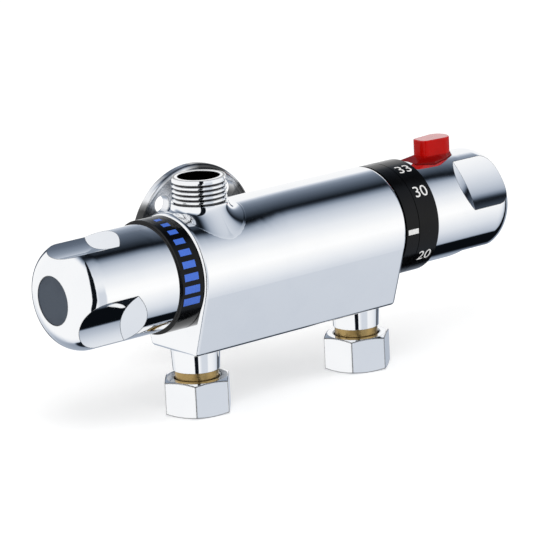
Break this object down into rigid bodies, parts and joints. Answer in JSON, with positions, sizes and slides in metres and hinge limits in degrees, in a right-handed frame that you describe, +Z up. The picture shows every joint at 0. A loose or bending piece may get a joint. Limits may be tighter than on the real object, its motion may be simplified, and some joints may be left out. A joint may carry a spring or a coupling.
{
  "type": "thermostatic mixing valve",
  "caption": "Chrome bar mixing valve with a temperature knob, a flow knob, black index rings, a red stop button, a threaded top outlet, union nuts below and a wall plate.",
  "frame": {"origin": "centre of the wall plate's back face", "axes": "+X along the bar to the temperature knob, +Y into the wall, +Z up through the outlet"},
  "size_m": [0.2145, 0.0735, 0.0905],
  "materials": {
    "cast_chrome": "polished",
    "knob_chrome": "polished",
    "ring_black": "gloss",
    "button_red": "gloss",
    "cap_grey": "satin",
    "tail_brass": "satin",
    "spindle_brass": "satin",
    "steel": "satin",
    "seal_black": "matte",
    "washer_fibre": "matte",
    "disc_white": "satin",
    "valve_white": "satin",
    "cartridge_grey": "satin",
    "wax_copper": "satin",
    "print_white": "satin",
    "print_blue": "satin"
  },
  "bodies": {
    "body": {"valve_body": "cast_chrome", "inlet_tail_left": "tail_brass", "inlet_tail_right": "tail_brass", "inlet_washer_left": "washer_fibre", "inlet_washer_right": "washer_fibre", "check_cage_left": "valve_white", "check_cage_right": "valve_white", "check_spring_left": "steel", "check_spring_right": "steel", "wall_plate": "cast_chrome", "wall_stem": "cast_chrome", "plate_screw": "steel", "index_ring": "ring_black", "cartridge_gland": "spindle_brass", "index_clip": "steel", "cartridge_sleeve": "cartridge_grey", "return_spring": "steel", "disc_seal": "seal_black", "fixed_disc": "disc_white", "flow_housing": "spindle_brass", "housing_seal": "seal_black", "flow_gland": "spindle_brass"},
    "temperature_knob": {"temperature_knob": "knob_chrome", "number_ring": "ring_black", "temperature_cap": "cap_grey", "temperature_knob_screw": "steel", "temperature_spindle": "spindle_brass", "button_spring": "steel"},
    "stop_button": {"stop_button": "button_red"},
    "flow_knob": {"flow_knob": "knob_chrome", "flow_ring": "ring_black", "flow_cap": "cap_grey", "flow_knob_screw": "steel", "flow_spindle": "spindle_brass", "moving_disc": "disc_white"},
    "mixing_shuttle": {"mixing_shuttle": "cartridge_grey", "wax_element": "wax_copper", "drive_nut": "spindle_brass", "overload_spring": "steel"},
    "inlet_nut_left": {"inlet_nut_left": "cast_chrome"},
    "inlet_nut_right": {"inlet_nut_right": "cast_chrome"},
    "check_poppet_left": {"check_poppet_left": "valve_white"},
    "check_poppet_right": {"check_poppet_right": "valve_white"}
  },
  "joints": [
    {"name": "temperature_turn", "type": "hinge", "parent": "body", "child": "temperature_knob", "pos_m": [-0.0007, -0.051, 0.004], "axis": [1, 0, 0], "range_deg": [-30.6, 92.4]},
    {"name": "button_press", "type": "slide", "parent": "temperature_knob", "child": "stop_button", "axis": [0, 0, -1], "range_m": [0, 0.0025], "stiffness_N_per_m": 600, "springref_m": -0.002, "deforming": ["button_spring"]},
    {"name": "flow_turn", "type": "hinge", "parent": "body", "child": "flow_knob", "pos_m": [-0.0007, -0.051, 0.004], "axis": [-1, 0, 0], "range_deg": [0, 90]},
    {"name": "shuttle_slide", "type": "slide", "parent": "body", "child": "mixing_shuttle", "axis": [1, 0, 0], "range_m": [-0.0002, 0.0006], "deforming": ["return_spring"]},
    {"name": "nut_left_turn", "type": "hinge", "parent": "body", "child": "inlet_nut_left", "pos_m": [-0.04, -0.051, -0.045], "axis": [0, 0, 1], "continuous": true},
    {"name": "nut_right_turn", "type": "hinge", "parent": "body", "child": "inlet_nut_right", "pos_m": [0.04, -0.051, -0.045], "axis": [0, 0, 1], "continuous": true},
    {"name": "check_left_lift", "type": "slide", "parent": "body", "child": "check_poppet_left", "axis": [0, 0, 1], "range_m": [0, 0.0025], "stiffness_N_per_m": 60, "springref_m": -0.002, "deforming": ["check_spring_left"]},
    {"name": "check_right_lift", "type": "slide", "parent": "body", "child": "check_poppet_right", "axis": [0, 0, 1], "range_m": [0, 0.0025], "stiffness_N_per_m": 60, "springref_m": -0.002, "deforming": ["check_spring_right"]}
  ],
  "couplings": [
    {"joint": "shuttle_slide", "follows": "temperature_turn", "m_per_rad": 0.000318}
  ]
}
